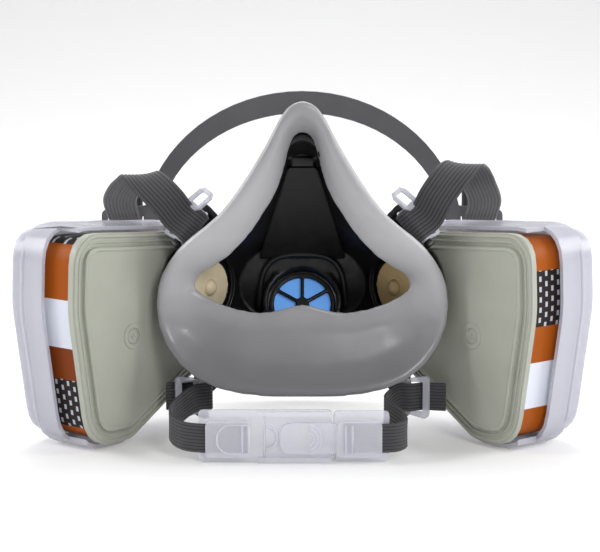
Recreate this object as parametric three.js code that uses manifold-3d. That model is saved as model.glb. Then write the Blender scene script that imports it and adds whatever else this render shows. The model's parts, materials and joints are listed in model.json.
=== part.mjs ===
// Half-face respirator mask with twin cartridges, in millimetres, +Z up.
// The wearer's face is on the -Y side, the cartridges are at +X and -X, and the mask stands on Z = 0.
import * as THREE from 'three';
import { mergeVertices } from 'three/addons/utils/BufferGeometryUtils.js';
import Module from 'manifold-3d';

const wasm = await Module();
wasm.setup();

// ---- driving dimensions ----------------------------------------------------
const GAP = 0.35;                 // clearance kept between neighbouring pieces
const ORIGIN_Y = 33.4;            // moves the finished object so that its box is centred on Y = 0
const ROUND = 24;                 // facets on a round piece
const SMALL_ROUND = 12;

const BODY_CENTRE_Z = 64;         // the facepiece tapers forward towards this height
const SEAL_WALL = 2.2;
const SEAL_STATIONS = 44;
// seal outline from the nose down to the chin: rim x, y, z, then lip x, y, z
const SEAL_OUTLINE = [
  [0, 4, 144.6, 0, 12, 130.6],
  [4.8, 4, 143, 3.2, 12, 129.2],
  [8.3, 4, 139.2, 5.2, 12, 124],
  [15.7, 3, 125.4, 7.6, 11, 114],
  [24.7, 1, 111, 10.8, 10, 105],
  [33.3, 0, 99.4, 15.5, 9, 97.6],
  [41.6, 1, 92, 21.4, 9, 88.6],
  [49.2, 3, 86, 28.6, 9, 80.6],
  [55.1, 5, 78.6, 36.2, 10, 75],
  [59.7, 7, 70, 43.2, 12, 70.6],
  [61.2, 7, 61, 45, 12, 66.6],
  [60.1, 5, 49.4, 39.6, 10, 62.4],
  [54.4, 1, 38.3, 30, 8, 58.8],
  [45, -4, 30, 19, 7, 56.6],
  [32.5, -7, 25, 10, 7, 57.8],
  [16.5, -8, 22.8, 4.5, 7, 59.6],
  [0, -8, 22.6, 0, 7, 60.2],
];
// tapers of the facepiece walls: [y, scale about the centre line]
const BODY_TAPER = [[18, 0.885], [34, 0.68], [45, 0.55]];
const SHELL_OUTER_TAPER = [[17, 0.885], [34, 0.68], [46, 0.54]];
const SHELL_INNER_TAPER = [[44, 0.55], [34, 0.68], [17, 0.885]];
const SEAL_INSET = 0.045;         // inner face of the seal wall, as a share of the outline
const SHELL_OUTER_INSET = 0.062;
const SHELL_INNER_INSET = 0.1;
// how far the seal's rolled face is pushed along y: [share of the way to the rim, at nose, at chin]
const NEAR_LIP = [0.3, -3.4, 3.2];
const ROLL = [0.66, -4.4, 3.4];
const NEAR_RIM = [0.92, -2.6, -1.2];
const INNER_NEAR_RIM = [0.9, -2.6, -1.2];
const LIP_HALF_THICK = 0.8;
const RIM_FOLD = 3;               // depth of the rolled edge behind the rim
const RIM_FOLD_SCALE = 0.99;
const NOSE_BAR = [[-5, 21, 115.5], [5, 25, 119.5]];   // low and high corners

const PORT_POINT = [49.7, 34, 63.4];   // centre of the cartridge's inner face on the port axis
const PORT_ANGLE = THREE.MathUtils.degToRad(38);
const PORT_TUBE_R = 16.5;
const PORT_BORE_R = 14.5;
const PORT_BODY_R = 14.2;
const PORT_AIR_R = 10.2;
const PORT_FLANGE_R = 18.5;
const PORT_INNER = -12;           // depths along the port axis, from the cartridge's inner face
const PORT_FLANGE_FACES = [-3.6, -1.9];
const STUB_END = 7.5;
const LUG_FACES = [5, 7];
const STUB_R = 11.8;
const LUG_R = 13.4;
const LUG_COUNT = 3;
const LUG_HALF_WIDTH = 4;
const FLAP_R = 11.8;

const VALVE_POINT = [0, 44, 52];
const VALVE_TILT = THREE.MathUtils.degToRad(30);
const VALVE_TUBE_R = 17.2;
const VALVE_BORE_R = 15;
const VALVE_AIR_R = 12.4;
const VALVE_SEAT_FACES = [-4, -2];
const VALVE_FLAP_FACES = [-1.6, -0.8];
const SPOKE_COUNT = 6;
const SPOKE_HALF_WIDTH = 0.8;
const COVER_R = 19.6;
// half section of the cover from its middle to its skirt and back: [radius, depth]
const COVER_PROFILE = [
  [0, 17.2], [8, 16.8], [15, 15.4], [VALVE_TUBE_R + GAP, 14.6], [VALVE_TUBE_R + GAP, 8.2],
  [COVER_R, 8.2], [COVER_R, 14], [16, 17], [9, 18.6], [0, 19],
];
const COVER_SLOTS = [-9, -4.5, 0, 4.5, 9];

// cartridge outline, looking from the wearer's side: distance behind the port, height, corner radius
const CARTRIDGE_CORNERS = [
  [-22, 84.5, 16],
  [67.5, 92.5, 13],
  [69.3, 60, 60],
  [60.5, 2.5, 16],
  [36, 2.5, 14],
  [-22, 34, 18],
];
const CASE_DEPTH = 22;
const FLANGE_DEPTH = 2.5;
const CASE_INSET = 2.6;
const CASE_WALL = 2;
const RAISED_FACE = 1.6;
const SOCKET_R = 16;
const SOCKET_DEPTH = 10.5;
const COLLAR_DEPTH = 4.5;
const NOTCH_TURN = -50;           // degrees from a lug to its entry notch
const SOCKET_HOLE_R = 2.2;
const SOCKET_HOLE_REACH = 7;
const MARK = [-35.9, -17];        // centre of the round moulding mark on the inner face
const SCREEN_SLOTS_X = [-12, -27, -42];
const SCREEN_SLOTS_Y = [-32, -20, -8, 4, 16];
const LABEL_THICK = 0.5;
const FILTER_DEPTH = 7;
const FILTER_INSET = 1.4;
const RETAINER_START = 15;
const RETAINER_STEP = 26;
const RETAINER_END = 36;
const RETAINER_WALL = 1.8;
const RETAINER_REACH = 2.5;
const CAP_INSET = 0.6;
const HOLLOW_INSET = 1.05;

const CRADLE_Y = 88;
const CRADLE_CENTRE_Z = 76.5;
const CRADLE_X = 74.2;
const CRADLE_Z = 67.4;
const CRADLE_THICK = 2.4;
const CRADLE_SLOT = [81.5, 84.5];      // x and z of each end slot

const UPPER_STRAP_WIDTH = 15;
const LOWER_STRAP_WIDTH = 12;
const STRAP_THICK = 1.2;
const BAR_R = 1.3;
const BARREL_R = 2.6;
const UPPER_BAR = [46.8, 15, 91.5];
const LOWER_BAR = [42, 12, 19.5];
const UPPER_HALF = 8.2;           // half the length of the upper buckle's barrel
const UPPER_REACH = 8.6;          // barrel to the buckle's far edge
const UPPER_WIDE = 9.3;           // half the width of that edge
const LOWER_HALF = 6.9;
const LOWER_REACH = 12.2;
const LOWER_WIDE = 9.6;
const FORK_SPACE = 1.8;           // barrel end to prong centre
const FORK_DEPTH = 6.6;           // bar to the middle of the fork's bridge
const FORK_HALF_THICK = 1.2;
const ARM_WIDTH = 8;
const ARM_THICK = 2.6;
const YOKE_RING_R = 24;

const CLIP_REAR_Y = -22;
const CLIP_LEFT_X = -42;
const CLIP_SPLIT_X = 12;
const CLIP_RIGHT_X = 35;
const CLIP_HEIGHT = 21.6;
const CLIP_PLATE = 2;
const POCKET_Z = 10.4;
const POCKET_HALF = 7.4;
const POCKET_SLOT_HALF = 6.4;

// ---- materials ---------------------------------------------------------------
const material = (color, roughness, metalness = 0, opacity = 1) =>
  new THREE.MeshStandardMaterial({ color, roughness, metalness, opacity, transparent: opacity < 1 });
const SEAL = material(0xbfbfc4, 0.55);
const BLACK = material(0x232125, 0.5);
const CASE = material(0xaaaca0, 0.55);
const CLEAR = material(0xd7d7e6, 0.25, 0, 0.6);
const LABEL = material(0xbe5a14, 0.35);
const WEBBING = material(0x55555a, 0.9);
const CRADLE = material(0x646469, 0.6);
const BLUE = material(0x5082be, 0.4);
const TAN = material(0xcdb98c, 0.6);
const CARBON = material(0x1c1c1c, 0.95);
const FIBRE = material(0xf2f2f0, 0.95);

// ---- helpers -----------------------------------------------------------------
const vec = (p) => new THREE.Vector3(...p);
const lerp = THREE.MathUtils.lerp;

// closed three.js geometry -> manifold solid
function solid(geometry) {
  const bare = geometry.clone();
  bare.deleteAttribute('normal');
  bare.deleteAttribute('uv');
  const merged = mergeVertices(bare, 1e-4);
  return new wasm.Manifold(new wasm.Mesh({
    numProp: 3,
    vertProperties: new Float32Array(merged.attributes.position.array),
    triVerts: new Uint32Array(merged.index.array),
  }));
}

// manifold solid -> three.js geometry
function geometryOf(body) {
  const mesh = body.getMesh();
  const geometry = new THREE.BufferGeometry();
  geometry.setAttribute('position', new THREE.BufferAttribute(new Float32Array(mesh.vertProperties), 3));
  geometry.setIndex(new THREE.BufferAttribute(new Uint32Array(mesh.triVerts), 1));
  geometry.computeVertexNormals();
  return geometry;
}

const joined = (...bodies) => bodies.reduce((a, b) => a.add(b));
const cut = (body, ...tools) => tools.reduce((a, b) => a.subtract(b), body);

function addMesh(parent, name, body, look) {
  const mesh = new THREE.Mesh(body.isBufferGeometry ? body : geometryOf(body), look);
  mesh.name = name;
  parent.add(mesh);
  return mesh;
}

// box from low corner to high corner
function box(low, high) {
  const size = high.map((h, i) => h - low[i]);
  const geometry = new THREE.BoxGeometry(...size);
  geometry.translate(...high.map((h, i) => (h + low[i]) / 2));
  return solid(geometry);
}

// cylinder along local Z from z0 to z1
function cylinder(radius, z0, z1, x = 0, y = 0, facets = ROUND) {
  const geometry = new THREE.CylinderGeometry(radius, radius, z1 - z0, facets);
  geometry.rotateX(Math.PI / 2);
  geometry.translate(x, y, (z0 + z1) / 2);
  return solid(geometry);
}

const tube = (outer, inner, z0, z1, facets = ROUND) =>
  cut(cylinder(outer, z0, z1, 0, 0, facets), cylinder(inner, z0 - 1, z1 + 1, 0, 0, facets));

// extruded outline along local Z from z0 to z1
function slab(shape, z0, z1, curveSegments = 5) {
  const geometry = new THREE.ExtrudeGeometry(shape, { depth: z1 - z0, bevelEnabled: false, curveSegments });
  geometry.translate(0, 0, z0);
  return solid(geometry);
}

// skin over a row of point loops; the two ends are closed unless the row joins up with itself
function skin(loops, ring = false) {
  const count = loops[0].length;
  const positions = loops.flat().flatMap((p) => [p.x, p.y, p.z]);
  const index = [];
  const at = (row, i) => (row % loops.length) * count + (i % count);
  const rows = ring ? loops.length : loops.length - 1;
  for (let row = 0; row < rows; row += 1) {
    for (let i = 0; i < count; i += 1) {
      index.push(at(row, i), at(row, i + 1), at(row + 1, i + 1));
      index.push(at(row, i), at(row + 1, i + 1), at(row + 1, i));
    }
  }
  if (!ring) {
    [[0, true], [loops.length - 1, false]].forEach(([row, flip]) => {
      const middle = loops[row].reduce((sum, p) => sum.add(p), new THREE.Vector3()).divideScalar(count);
      const centre = positions.length / 3;
      positions.push(middle.x, middle.y, middle.z);
      for (let i = 0; i < count; i += 1) {
        index.push(centre, ...(flip ? [at(row, i + 1), at(row, i)] : [at(row, i), at(row, i + 1)]));
      }
    });
  }
  if (volume(positions, index) < 0) {
    for (let i = 0; i < index.length; i += 3) [index[i + 1], index[i + 2]] = [index[i + 2], index[i + 1]];
  }
  const geometry = new THREE.BufferGeometry();
  geometry.setAttribute('position', new THREE.Float32BufferAttribute(positions, 3));
  geometry.setIndex(index);
  geometry.computeVertexNormals();
  return geometry;
}

function volume(positions, index) {
  const point = (i) => new THREE.Vector3().fromArray(positions, index[i] * 3);
  let sum = 0;
  for (let i = 0; i < index.length; i += 3) sum += point(i).dot(point(i + 1).cross(point(i + 2)));
  return sum / 6;
}

// flat bar swept along points, with its width along `widths` (one direction for each point)
function bar(points, widths, width, thickness) {
  const loops = points.map((p, i) => {
    const before = points[Math.max(i - 1, 0)];
    const after = points[Math.min(i + 1, points.length - 1)];
    const along = after.clone().sub(before).normalize();
    const across = widths[i].clone().addScaledVector(along, -widths[i].dot(along)).normalize();
    const normal = new THREE.Vector3().crossVectors(along, across);
    const corner = (u, v) => p.clone()
      .addScaledVector(across, u * width / 2)
      .addScaledVector(normal, v * thickness / 2);
    return [corner(-1, -1), corner(1, -1), corner(1, 1), corner(-1, 1)];
  });
  return skin(loops);
}

// smooth run of points and width directions through hand-set stations [x, y, z, wx, wy, wz]
function route(stations, steps) {
  const line = new THREE.CatmullRomCurve3(stations.map((s) => vec(s.slice(0, 3))), false, 'centripetal');
  const turn = stations.map((s) => vec(s.slice(3)).normalize());
  const points = [];
  const widths = [];
  for (let i = 0; i <= steps; i += 1) {
    const t = i / steps;
    const at = t * (stations.length - 1);
    const low = Math.min(Math.floor(at), stations.length - 2);
    points.push(line.getPoint(t));
    widths.push(turn[low].clone().lerp(turn[low + 1], at - low).normalize());
  }
  return [points, widths];
}

// polygon with rounded corners from [x, y, radius], moved inwards by `inset`
function roundedShape(corners, inset = 0) {
  const count = corners.length;
  const area = corners.reduce((sum, [x, y], i) => {
    const [nx, ny] = corners[(i + 1) % count];
    return sum + x * ny - nx * y;
  }, 0);
  const side = Math.sign(area);
  const edges = corners.map(([x, y], i) => {
    const [nx, ny] = corners[(i + 1) % count];
    const length = Math.hypot(nx - x, ny - y);
    const dx = (nx - x) / length;
    const dy = (ny - y) / length;
    return { x: x - dy * inset * side, y: y + dx * inset * side, dx, dy };
  });
  const moved = corners.map((corner, i) => {
    const a = edges[(i + count - 1) % count];
    const b = edges[i];
    const t = ((b.x - a.x) * b.dy - (b.y - a.y) * b.dx) / (a.dx * b.dy - a.dy * b.dx);
    return [a.x + a.dx * t, a.y + a.dy * t, Math.max(corner[2] - inset, 1)];
  });
  const shape = new THREE.Shape();
  moved.forEach(([x, y, r], i) => {
    const a = edges[(i + count - 1) % count];
    const b = edges[i];
    const bend = Math.acos(THREE.MathUtils.clamp(a.dx * b.dx + a.dy * b.dy, -1, 1));
    const back = r * Math.tan(bend / 2);
    const start = [x - a.dx * back, y - a.dy * back];
    if (i === 0) shape.moveTo(...start);
    else shape.lineTo(...start);
    shape.quadraticCurveTo(x, y, x + b.dx * back, y + b.dy * back);
  });
  shape.closePath();
  return shape;
}

// moves a solid into a frame given by its origin and its x, y and z directions
function placed(body, origin, x, y, z) {
  const m = new THREE.Matrix4().makeBasis(x, y, z).setPosition(origin);
  return body.transform(m.elements);
}

// ---- assembly groups ---------------------------------------------------------
const mask = new THREE.Group();
mask.position.y = -ORIGIN_Y;

const X = new THREE.Vector3(1, 0, 0);
const Z = new THREE.Vector3(0, 0, 1);

// valve frame: local z is the way the breath leaves
const VALVE_OUT = new THREE.Vector3(0, Math.cos(VALVE_TILT), -Math.sin(VALVE_TILT));
const VALVE_UP = new THREE.Vector3(0, Math.sin(VALVE_TILT), Math.cos(VALVE_TILT));
const inValveFrame = (body) => placed(body, vec(VALVE_POINT), X.clone().negate(), VALVE_UP, VALVE_OUT);

// port frame on the +X side: local x points to the cartridge's front, y up, z outwards
const PORT_OUT = new THREE.Vector3(Math.cos(PORT_ANGLE), Math.sin(PORT_ANGLE), 0);
const PORT_FORWARD = new THREE.Vector3(-Math.sin(PORT_ANGLE), Math.cos(PORT_ANGLE), 0);
const inPortFrame = (body) => placed(body, vec(PORT_POINT), PORT_FORWARD, Z, PORT_OUT);
const bothSides = (body) => [body, body.mirror([1, 0, 0])];

// group whose local axes are the port frame; side is 1 on +X and -1 on -X
function portGroup(side) {
  const sideGroup = new THREE.Group();
  sideGroup.scale.x = side;
  const group = new THREE.Group();
  const turn = new THREE.Matrix4().makeBasis(PORT_FORWARD, Z, PORT_OUT);
  group.setRotationFromMatrix(turn);
  group.position.copy(vec(PORT_POINT));
  sideGroup.add(group);
  mask.add(sideGroup);
  return group;
}

// ---- facepiece ---------------------------------------------------------------
// outline loops run from the nose down one side and up the other
function outlineLoop(x, y, z) {
  const right = SEAL_OUTLINE.map((row) => new THREE.Vector3(row[x], row[y], row[z]));
  const left = right.slice(1, -1).reverse().map((p) => new THREE.Vector3(-p.x, p.y, p.z));
  const curve = new THREE.CatmullRomCurve3([...right, ...left], true, 'centripetal');
  return Array.from({ length: SEAL_STATIONS }, (_, i) => curve.getPoint(i / SEAL_STATIONS));
}
const RIM = outlineLoop(0, 1, 2);
const LIP = outlineLoop(3, 4, 5);

// rim shrunk towards the centre line at depth y
const taperLoop = (y, scale) => RIM.map((p) =>
  new THREE.Vector3(p.x * scale, y, BODY_CENTRE_Z + (p.z - BODY_CENTRE_Z) * scale));

// share of the way down from nose to chin, 0 to 1
const chinShare = (p) => THREE.MathUtils.smoothstep(BODY_CENTRE_Z + 2 - p.z, 0, 30);

// between lip and rim, pushed along y
const bridgeLoop = (t, noseY, chinY) => RIM.map((p, i) => {
  const point = LIP[i].clone().lerp(p, t);
  point.y += lerp(noseY, chinY, chinShare(p));
  return point;
});
const shifted = (loop, y) => loop.map((p) => new THREE.Vector3(p.x, p.y + y, p.z));

function faceSeal() {
  const [nearLip, roll, nearRim, innerNearRim] = [NEAR_LIP, ROLL, NEAR_RIM, INNER_NEAR_RIM]
    .map((setting) => bridgeLoop(...setting));
  const outer = BODY_TAPER.map(([y, scale]) => taperLoop(y, scale));
  const inner = BODY_TAPER.map(([y, scale]) => taperLoop(y, scale - SEAL_INSET)).reverse();
  const fold = RIM.map((p) => new THREE.Vector3(
    p.x * RIM_FOLD_SCALE,
    p.y + RIM_FOLD,
    BODY_CENTRE_Z + (p.z - BODY_CENTRE_Z) * RIM_FOLD_SCALE,
  ));
  const body = solid(skin([
    shifted(LIP, -LIP_HALF_THICK),
    nearLip,
    roll,
    nearRim,
    RIM,
    fold,
    ...outer,
    ...inner,
    shifted(innerNearRim, SEAL_WALL),
    shifted(roll, SEAL_WALL),
    shifted(nearLip, SEAL_WALL * 0.9),
    shifted(LIP, LIP_HALF_THICK),
  ], true));
  const ports = bothSides(inPortFrame(cylinder(PORT_TUBE_R + GAP, -16, 4)));
  const valve = inValveFrame(cylinder(VALVE_TUBE_R + GAP, -10, 16));
  return cut(body, ...ports, valve);
}

function innerShell() {
  const outer = SHELL_OUTER_TAPER.map(([y, scale]) => taperLoop(y, scale - SHELL_OUTER_INSET));
  const inner = SHELL_INNER_TAPER.map(([y, scale]) => taperLoop(y, scale - SHELL_INNER_INSET));
  const cup = solid(skin([...inner, ...outer]));
  const portTubes = bothSides(inPortFrame(cylinder(PORT_TUBE_R, -13, -4.2)));
  const portBores = bothSides(inPortFrame(cylinder(PORT_BORE_R, -20, 4)));
  const valveTube = inValveFrame(cylinder(VALVE_TUBE_R, -8, 14));
  const valveBore = inValveFrame(cylinder(VALVE_BORE_R, -9, 15));
  return cut(joined(cup, ...portTubes, valveTube, box(...NOSE_BAR)), ...portBores, valveBore);
}

// ---- exhalation valve ---------------------------------------------------------
function exhalationSeat() {
  const [seatBack, seatFront] = VALVE_SEAT_FACES;
  const ring = tube(VALVE_BORE_R - GAP, VALVE_AIR_R, seatBack, seatFront);
  const spokes = Array.from({ length: SPOKE_COUNT }, (_, i) => box(
    [-SPOKE_HALF_WIDTH, 0, seatBack],
    [SPOKE_HALF_WIDTH, VALVE_AIR_R + 1, seatFront - 0.2],
  ).rotate([0, 0, (i * 360) / SPOKE_COUNT]));
  const hub = cylinder(3, seatBack, seatFront, 0, 0, SMALL_ROUND);
  const pin = cylinder(1.5, -3, 2.2, 0, 0, SMALL_ROUND);
  return inValveFrame(joined(ring, ...spokes, hub, pin));
}

const exhalationFlap = () => inValveFrame(cut(
  cylinder(VALVE_AIR_R + 1.4, ...VALVE_FLAP_FACES),
  cylinder(1.9, -3, 2, 0, 0, SMALL_ROUND),
));

function exhalationCover() {
  const profile = COVER_PROFILE.map(([r, depth]) => new THREE.Vector2(r, depth));
  const shell = new THREE.LatheGeometry(profile, ROUND);
  shell.rotateX(Math.PI / 2);
  const slots = COVER_SLOTS.map((y) => box([-9, y - 1, 12], [9, y + 1, 22]));
  const vent = box([-8, -24, 15], [8, -10, 17]);
  return inValveFrame(cut(solid(shell), ...slots, vent));
}

// ---- inhalation ports, built in the port frame -------------------------------------
function port() {
  const barrel = tube(PORT_BODY_R, PORT_AIR_R, PORT_INNER, -3);
  const flange = tube(PORT_FLANGE_R, PORT_AIR_R, ...PORT_FLANGE_FACES);
  const stub = tube(STUB_R, PORT_AIR_R, -2.5, STUB_END);
  const spoke = box([-PORT_BODY_R + 2, -1, PORT_INNER], [PORT_BODY_R - 2, 1, PORT_INNER + 1.6]);
  const spider = [spoke, spoke.rotate([0, 0, 90])];
  const pin = cylinder(1.5, PORT_INNER - 3, PORT_INNER + 1, 0, 0, SMALL_ROUND);
  const lug = tube(LUG_R, STUB_R - 1, ...LUG_FACES)
    .intersect(box([0, -LUG_HALF_WIDTH, 4], [20, LUG_HALF_WIDTH, 8]));
  const lugs = Array.from({ length: LUG_COUNT }, (_, i) => lug.rotate([0, 0, (i * 360) / LUG_COUNT]));
  return joined(barrel, flange, stub, ...spider, pin, ...lugs);
}

const portGasket = () => tube(PORT_FLANGE_R - 0.7, STUB_R + GAP, -1.6, -GAP);
const inhalationFlap = () => cut(
  cylinder(FLAP_R, -13.1, -12.35),
  cylinder(1.85, -14, -12, 0, 0, SMALL_ROUND),
);

// ---- cartridge, filter and retainer, built in the port frame -------------------------
const cartridgeShape = (inset) => roundedShape(
  CARTRIDGE_CORNERS.map(([behind, height, r]) => [-behind, height - PORT_POINT[2], r]), inset);
const layer = (inset, z0, z1) => slab(cartridgeShape(inset), z0, z1);
const SIDE_INSET = CASE_INSET + CASE_WALL;

function cartridgeCase() {
  const flange = layer(0, 0, FLANGE_DEPTH);
  const wall = cut(layer(CASE_INSET, 0, CASE_DEPTH), layer(SIDE_INSET, FLANGE_DEPTH, CASE_DEPTH + 1));
  const raised = cut(layer(SIDE_INSET + 1, -RAISED_FACE, 1), cylinder(PORT_FLANGE_R + 1.5, -3, 0));
  const mark = cut(
    cylinder(5.4, -RAISED_FACE - 0.4, -1, ...MARK, SMALL_ROUND),
    cylinder(3.6, -3, -RAISED_FACE, ...MARK, SMALL_ROUND),
  );
  return cut(joined(flange, wall, raised, mark), cylinder(SOCKET_R + GAP, -3, FLANGE_DEPTH + 1));
}

function cartridgeSocket() {
  const body = cylinder(SOCKET_R, GAP, SOCKET_DEPTH);
  const collar = cylinder(STUB_R + GAP, -1, COLLAR_DEPTH);
  const cavity = cylinder(LUG_R + GAP, COLLAR_DEPTH, SOCKET_DEPTH - 1.5);
  const notches = Array.from({ length: LUG_COUNT }, (_, i) => box(
    [0, -LUG_HALF_WIDTH - 0.6, -1],
    [LUG_R + GAP, LUG_HALF_WIDTH + 0.6, COLLAR_DEPTH + 0.5],
  ).rotate([0, 0, NOTCH_TURN + (i * 360) / LUG_COUNT]));
  const hole = (x, y) => cylinder(SOCKET_HOLE_R, 0, 12, x, y, SMALL_ROUND);
  const holes = Array.from({ length: 6 }, (_, i) => {
    const turn = (i * Math.PI) / 3;
    return hole(SOCKET_HOLE_REACH * Math.cos(turn), SOCKET_HOLE_REACH * Math.sin(turn));
  });
  return cut(body, collar, cavity, ...notches, ...holes, hole(0, 0));
}

const charcoalBed = () => cut(
  layer(SIDE_INSET + GAP, FLANGE_DEPTH + GAP, CASE_DEPTH - 2.4),
  cylinder(SOCKET_R + GAP, 0, SOCKET_DEPTH + GAP),
);

function outerScreen() {
  const plate = layer(SIDE_INSET + GAP, CASE_DEPTH - 2, CASE_DEPTH - 0.4);
  const slots = SCREEN_SLOTS_X.flatMap((x) => SCREEN_SLOTS_Y.map((y) =>
    box([x - 5, y - 2, 0], [x + 5, y + 2, CASE_DEPTH + 4])));
  return cut(plate, ...slots);
}

const label = () => cut(
  layer(CASE_INSET - GAP - LABEL_THICK, FLANGE_DEPTH + GAP, CASE_DEPTH - 2),
  layer(CASE_INSET - GAP, 0, CASE_DEPTH),
);

const particulateFilter = () =>
  layer(FILTER_INSET, CASE_DEPTH + GAP, CASE_DEPTH + GAP + FILTER_DEPTH);

function retainer() {
  const skirt = cut(
    layer(-RETAINER_REACH, RETAINER_START, RETAINER_STEP + RETAINER_WALL),
    layer(-RETAINER_REACH + RETAINER_WALL, RETAINER_START - 1, RETAINER_STEP),
  );
  const cap = layer(CAP_INSET, RETAINER_STEP, RETAINER_END);
  const hollow = layer(HOLLOW_INSET, RETAINER_START, RETAINER_END - 2);
  const lipRing = cut(
    layer(-RETAINER_REACH, FLANGE_DEPTH + 2, RETAINER_START + 0.5),
    layer(-RETAINER_REACH + RETAINER_WALL, 0, RETAINER_START + 1),
  );
  const topLip = lipRing.intersect(box([-60, 14, 0], [-2, 60, 20]));
  const bottomLip = lipRing.intersect(box([-58, -70, 0], [-16, -44, 20]));
  return joined(cut(joined(skirt, cap), hollow), topLip, bottomLip);
}

// ---- harness -----------------------------------------------------------------
// each buckle hangs on a fork's bar; along is the bar, out points away from the seal
const UPPER_ALONG = new THREE.Vector3(0.63, -0.22, -0.745).normalize();
const UPPER_FACE = new THREE.Vector3(0.395, -0.693, 0.601);
const UPPER_OUT = new THREE.Vector3().crossVectors(UPPER_FACE, UPPER_ALONG).normalize();
const LOWER_ALONG = new THREE.Vector3(0, 0, 1);
const LOWER_OUT = new THREE.Vector3(0.93, -0.37, 0).normalize();

const inBuckleFrame = (body, at, along, out) =>
  placed(body, vec(at), along, out, new THREE.Vector3().crossVectors(along, out));

// fork arm end in the buckle frame: local x runs along the bar, local y away from the seal,
// and the bridge lies on the `behind` side of local z
function fork(half, behind) {
  const pin = cylinder(BAR_R, -half, half, 0, 0, SMALL_ROUND).rotate([0, 90, 0]);
  const far = behind * (FORK_DEPTH + FORK_HALF_THICK);
  const near = behind * (FORK_DEPTH - FORK_HALF_THICK);
  const tip = -behind * 1.6;
  const prongs = [-1, 1].map((side) => box(
    [side * half - FORK_HALF_THICK, -2.4, Math.min(far, tip)],
    [side * half + FORK_HALF_THICK, 1.6, Math.max(far, tip)],
  ));
  const bridge = box([-half, -2.4, Math.min(near, far)], [half, 1.6, Math.max(near, far)]);
  return joined(pin, ...prongs, bridge);
}

function buckle(half, reach, wide) {
  const barrel = cylinder(BARREL_R, -half, half, 0, 0, SMALL_ROUND).rotate([0, 90, 0]);
  const outline = roundedShape([[-half, 0, 1], [half, 0, 1], [wide, reach, 2.4], [-wide, reach, 2.4]]);
  const frame = slab(outline, -1.1, 1.1, 3);
  const window = box([-half + 0.45, BARREL_R + 1.4, -4], [half - 0.45, reach - 2.6, 4]);
  const bore = cylinder(BAR_R + 0.4, -half - 1, half + 1, 0, 0, SMALL_ROUND).rotate([0, 90, 0]);
  return cut(joined(barrel, frame), window, bore);
}

const upperBuckle = () => inBuckleFrame(
  buckle(UPPER_HALF, UPPER_REACH, UPPER_WIDE), UPPER_BAR, UPPER_ALONG, UPPER_OUT);
const lowerBuckle = () => inBuckleFrame(
  buckle(LOWER_HALF, LOWER_REACH, LOWER_WIDE), LOWER_BAR, LOWER_ALONG, LOWER_OUT);

// centre lines of the arms on +X: x, y, z and the way their width lies
const UPPER_ARM = [
  [17, 56.4, 61, 0.9, 0.1, -0.3],
  [22, 53.5, 73, 0.9, 0, -0.4],
  [28, 44, 83, 0.85, 0, -0.5],
  [36, 32, 87, 0.8, 0, -0.6],
  [43.8, 20.4, 87.6, 0.63, -0.22, -0.745],
];
const LOWER_ARM = [
  [20.5, 44.4, 40.2, 0, 0.5, 0.87],
  [27, 39, 33, 0.1, 0.3, 0.9],
  [36, 30, 25, 0.1, 0.1, 1],
  [43.4, 20.6, 19.5, 0, 0, 1],
];

function harnessYoke() {
  const ring = inValveFrame(tube(YOKE_RING_R, VALVE_TUBE_R + GAP + 0.1, 5, 7.5));
  const arms = [UPPER_ARM, LOWER_ARM].map((stations) =>
    solid(bar(...route(stations, 10), ARM_WIDTH, ARM_THICK)));
  const forks = [
    inBuckleFrame(fork(UPPER_HALF + FORK_SPACE, -1), UPPER_BAR, UPPER_ALONG, UPPER_OUT),
    inBuckleFrame(fork(LOWER_HALF + FORK_SPACE, 1), LOWER_BAR, LOWER_ALONG, LOWER_OUT),
  ];
  const clear = 0.012;              // gap to the seal, as a share of the outline
  const envelope = [[-10, 0.99], [10, 0.99], ...BODY_TAPER, [47.4, 0.54]];
  const facepiece = solid(skin(envelope.map(([y, scale]) => taperLoop(y, scale + clear))));
  const coverRoom = inValveFrame(cylinder(COVER_R + 0.5, 7.8, 24));
  return cut(joined(ring, ...[...arms, ...forks].flatMap(bothSides)), facepiece, coverRoom);
}

function headCradle() {
  const ellipse = (grow) => {
    const shape = new THREE.Shape();
    shape.absellipse(0, 0, CRADLE_X - grow * 0.72, CRADLE_Z - grow, 0, 2 * Math.PI);
    return shape;
  };
  const band = cut(slab(ellipse(0), 0, CRADLE_THICK, 36), slab(ellipse(10), -1, CRADLE_THICK + 1, 36));
  const [slotX, slotZ] = CRADLE_SLOT;
  const slotY = slotZ - CRADLE_CENTRE_Z;
  const ends = [-1, 1].flatMap((side) => {
    const x = side * slotX;
    const reach = UPPER_STRAP_WIDTH / 2;
    const inner = side * (CRADLE_X - 3);
    const outer = x + side * (reach + 3.5);
    return slab(roundedShape([
      [inner, slotY - 7, 1],
      [outer, slotY - 5, 3],
      [outer, slotY + 5, 3],
      [inner, slotY + 7, 1],
    ]), 0, CRADLE_THICK, 3);
  });
  const slots = [-1, 1].map((side) => box(
    [side * slotX - UPPER_STRAP_WIDTH / 2 - 0.8, slotY - 2, -1],
    [side * slotX + UPPER_STRAP_WIDTH / 2 + 0.8, slotY + 2, CRADLE_THICK + 1],
  ));
  const flat = cut(joined(band, ...ends), ...slots);
  const centre = new THREE.Vector3(0, CRADLE_Y, CRADLE_CENTRE_Z);
  return placed(flat, centre, X.clone().negate(), Z, new THREE.Vector3(0, 1, 0));
}

// ---- straps ------------------------------------------------------------------
// station in a buckle frame -> station in the mask frame, on the +X side
function fromBuckle(at, along, out, y, k) {
  const face = new THREE.Vector3().crossVectors(along, out);
  const p = vec(at).addScaledVector(out, y).addScaledVector(face, k);
  return [...p.toArray(), ...along.toArray()];
}
const WRAP_R = BARREL_R + GAP + STRAP_THICK / 2 + 0.05;

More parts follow.
